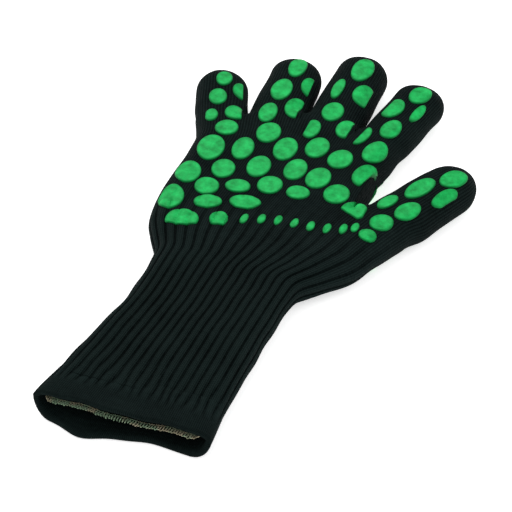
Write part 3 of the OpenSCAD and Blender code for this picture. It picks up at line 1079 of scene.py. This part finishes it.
class Nodes:
    """A short way to write a material's nodes."""

    def __init__(self, name, rough, specular, **more):
        self.material = bpy.data.materials.new(name)
        self.material.use_nodes = True
        self.tree = self.material.node_tree
        self.shader = self.tree.nodes["Principled BSDF"]
        self.shader.inputs["Roughness"].default_value = rough
        self.shader.inputs["Specular IOR Level"].default_value = specular
        for key, value in more.items():
            self.shader.inputs[key.replace("_", " ")].default_value = value

    def add(self, kind, **settings):
        node = self.tree.nodes.new("ShaderNode" + kind)
        for key, value in settings.items():
            setattr(node, key, value)
        return node

    def link(self, a, b):
        self.tree.links.new(a, b)

    def put(self, socket, value):
        if hasattr(value, "is_linked"):
            self.link(value, socket)
        else:
            socket.default_value = value

    def math(self, how, a, b=0.0, c=0.0):
        node = self.add("Math", operation=how)
        for socket, value in zip(node.inputs, (a, b, c)):
            self.put(socket, value)
        return node.outputs[0]

    def noise(self, scale, detail=3.0, rough=0.55):
        node = self.add("TexNoise")
        coord = self.add("TexCoord")
        self.link(coord.outputs["Object"], node.inputs["Vector"])
        node.inputs["Scale"].default_value = scale
        node.inputs["Detail"].default_value = detail
        node.inputs["Roughness"].default_value = rough
        return node.outputs["Fac"]

    def ramp(self, value, stops):
        node = self.add("ValToRGB")
        self.link(value, node.inputs[0])
        for i, (at, colour) in enumerate(stops):
            point = node.color_ramp.elements[i] if i < 2 else node.color_ramp.elements.new(at)
            point.position = at
            point.color = (*colour, 1)
        return node.outputs[0]

    def mix(self, share, a, b):
        node = self.add("Mix", data_type="RGBA")
        self.put(node.inputs[0], share)
        self.put(node.inputs[6], a)
        self.put(node.inputs[7], b)
        return node.outputs[2]

    def uv(self):
        node = self.add("UVMap", uv_map="knit")
        split = self.add("SeparateXYZ")
        self.link(node.outputs[0], split.inputs[0])
        return split.outputs[0], split.outputs[1]

    def bump(self, height, distance, strength=1.0):
        node = self.add("Bump")
        node.inputs["Distance"].default_value = distance
        node.inputs["Strength"].default_value = strength
        self.link(height, node.inputs["Height"])
        self.link(node.outputs[0], self.shader.inputs["Normal"])

    def colour(self, value):
        self.put(self.shader.inputs["Base Color"], value)

    def rough(self, value):
        self.put(self.shader.inputs["Roughness"], value)


def wales(m, across=2.0, along=1.5):
    """Knitted stitches: rows of small slanting loops, high where the yarn stands proud."""
    u, v = m.uv()
    col = m.math("ABSOLUTE", m.math("SINE", m.math("MULTIPLY", u, math.pi / across)))
    lean = m.math("PINGPONG", u, across / 2)
    phase = m.math("ADD", m.math("MULTIPLY", v, 2 * math.pi / along), m.math("MULTIPLY", lean, 2.2))
    loop = m.math("MULTIPLY_ADD", m.math("SINE", phase), 0.5, 0.5)
    return col, m.math("MULTIPLY", col, loop)


# ends of the knit's colour ramp: the step from dark to light carries random tone, painted shade in rib
# valleys and between loops, and painted light on rib crests and loop tops
KNIT_DARK = (0.0003, 0.0014, 0.0014)
KNIT_LIGHT = (0.0092, 0.0170, 0.0160)
LINING_LIGHT = (0.0080, 0.0100, 0.0085)
SILICONE_DEEP, SILICONE_PALE = (0.001, 0.24, 0.045), (0.010, 0.52, 0.112)
# the colour of the painted shade on a dot's edge wall
SILICONE_RIM_SHADE = (0.001, 0.12, 0.025, 1)


def knit_material(name, dark, light, across=2.0, along=1.5, deep=0.00045):
    m = Nodes(name, 0.86, 0.03)
    col, loop = wales(m, across, along)
    fuzz = m.noise(2600.0, 2.0, 0.7)
    slow = m.noise(38.0, 3.0)
    lint = m.noise(330.0, 4.0, 0.7)
    ribs = m.add("Attribute", attribute_name="ribs").outputs["Fac"]
    high = m.math("ADD", m.math("MULTIPLY", col, 0.6), m.math("MULTIPLY", loop, 0.4))
    high = m.math("ADD", high, m.math("MULTIPLY", fuzz, 0.35))
    # the colour follows the stitches' height: painted highlight where the yarn stands proud, painted shade
    # between the loops; fuzz, slow swells and lint add random tone
    share = m.math("MULTIPLY", m.math("ADD", high, slow), 0.36)
    share = m.math("ADD", share, m.math("MULTIPLY", lint, 0.36))
    # painted shade in the rib valleys and painted light on the ribs' crests, read from the rib heights
    share = m.math("MULTIPLY_ADD", ribs, 0.42, share)
    m.colour(m.ramp(share, ((0.34, dark), (0.88, light))))
    m.rough(m.math("MULTIPLY_ADD", slow, 0.2, 0.74))
    m.bump(high, deep)
    return m.material


def silicone_material():
    m = Nodes("silicone_green", 0.5, 0.09)
    rim_shade = m.add("Attribute", attribute_name="rim_shade").outputs["Fac"]
    slow = m.noise(210.0, 4.0, 0.6)
    fine = m.noise(1500.0, 3.0, 0.6)
    share = m.math("ADD", m.math("MULTIPLY", slow, 0.75), m.math("MULTIPLY", fine, 0.25))
    flat = m.ramp(share, ((0.34, SILICONE_DEEP), (0.66, SILICONE_PALE)))
    # painted shade on the dots' edge walls: the rim share darkens the colour
    m.colour(m.mix(m.math("MULTIPLY", rim_shade, 0.85), flat, SILICONE_RIM_SHADE))
    m.rough(m.math("MULTIPLY_ADD", fine, 0.25, 0.36))
    m.bump(share, 0.00022)
    return m.material


def thread_material():
    m = Nodes("overlock_thread", 0.8, 0.25, Sheen_Weight=0.15)
    twist = m.noise(900.0, 3.0, 0.7)
    patch = m.noise(140.0, 2.0, 0.6)
    beige = m.ramp(twist, ((0.35, (0.13, 0.11, 0.06)), (0.65, (0.44, 0.40, 0.27))))
    green = m.ramp(twist, ((0.35, (0.05, 0.10, 0.05)), (0.65, (0.26, 0.38, 0.24))))
    m.colour(m.mix(m.ramp(patch, ((0.42, (0, 0, 0)), (0.58, (1, 1, 1)))), beige, green))
    m.rough(m.math("MULTIPLY_ADD", twist, 0.2, 0.7))
    m.bump(twist, 0.0002)
    return m.material


def floor_material():
    m = Nodes("pale_floor", 0.9, 0.05, Emission_Strength=0.6)
    m.shader.inputs["Emission Color"].default_value = (1, 1, 1, 1)
    grain = m.noise(6.0, 2.0)
    m.colour(m.ramp(grain, ((0.0, (0.90, 0.90, 0.90)), (1.0, (0.93, 0.93, 0.93)))))
    return m.material


# ---------- floor, light and camera ----------

# what the camera looks at, in metres, and from where
TARGET = Vector((-0.01118, -0.00645, 0.0))
AZIMUTH, ELEVATION, DISTANCE = math.radians(20.8), math.radians(40.47), 2.0
LENS_MM = 256.5
LIGHT_DISTANCE = 1.6


def from_angle(azimuth, elevation, distance):
    flat = math.cos(elevation)
    return Vector((math.sin(azimuth) * flat, -math.cos(azimuth) * flat, math.sin(elevation))) * distance


def aim(obj, where, at):
    obj.location = where
    obj.rotation_euler = (at - where).to_track_quat("-Z", "Y").to_euler()


def make_camera():
    data = bpy.data.cameras.new("camera")
    data.sensor_width = 36.0
    data.lens = LENS_MM
    data.clip_end = 50.0
    obj = bpy.data.objects.new("camera", data)
    bpy.context.scene.collection.objects.link(obj)
    aim(obj, TARGET + from_angle(AZIMUTH, ELEVATION, DISTANCE), TARGET)
    bpy.context.scene.camera = obj


def make_light(name, azimuth, elevation, size, power):
    data = bpy.data.lights.new(name, "AREA")
    data.size = size
    data.energy = power
    obj = bpy.data.objects.new(name, data)
    bpy.context.scene.collection.objects.link(obj)
    aim(obj, from_angle(math.radians(azimuth), math.radians(elevation), LIGHT_DISTANCE), Vector((0, 0, 0)))


def make_studio():
    mesh = bpy.data.meshes.new("floor")
    mesh.from_pydata([(-6, -6, 0), (6, -6, 0), (6, 6, 0), (-6, 6, 0)], [], [(0, 1, 2, 3)])
    mesh.materials.append(floor_material())
    floor = bpy.data.objects.new("floor", mesh)
    bpy.context.scene.collection.objects.link(floor)
    world = bpy.data.worlds.new("studio")
    world.use_nodes = True
    world.node_tree.nodes["Background"].inputs[0].default_value = (1, 1, 1, 1)
    world.node_tree.nodes["Background"].inputs[1].default_value = 0.75
    bpy.context.scene.world = world
    make_light("key", 215, 50, 0.7, 9)
    make_light("side", 120, 35, 0.7, 4)
    make_light("fill", -40, 45, 1.0, 2)
    bpy.context.scene.view_settings.view_transform = "Standard"


# ---------- the glove ----------

def build():
    skin = build_skin()
    make_knit(skin, knit_material("knit_black", KNIT_DARK, KNIT_LIGHT))
    make_hem(knit_material("hem_black", KNIT_DARK, KNIT_LIGHT, deep=0.0003))
    make_lining(knit_material("lining_dark", KNIT_DARK, LINING_LIGHT, 3.0, 1.6))
    make_overlock(thread_material())
    make_dots(skin, silicone_material())


make_camera()
build()
make_studio()
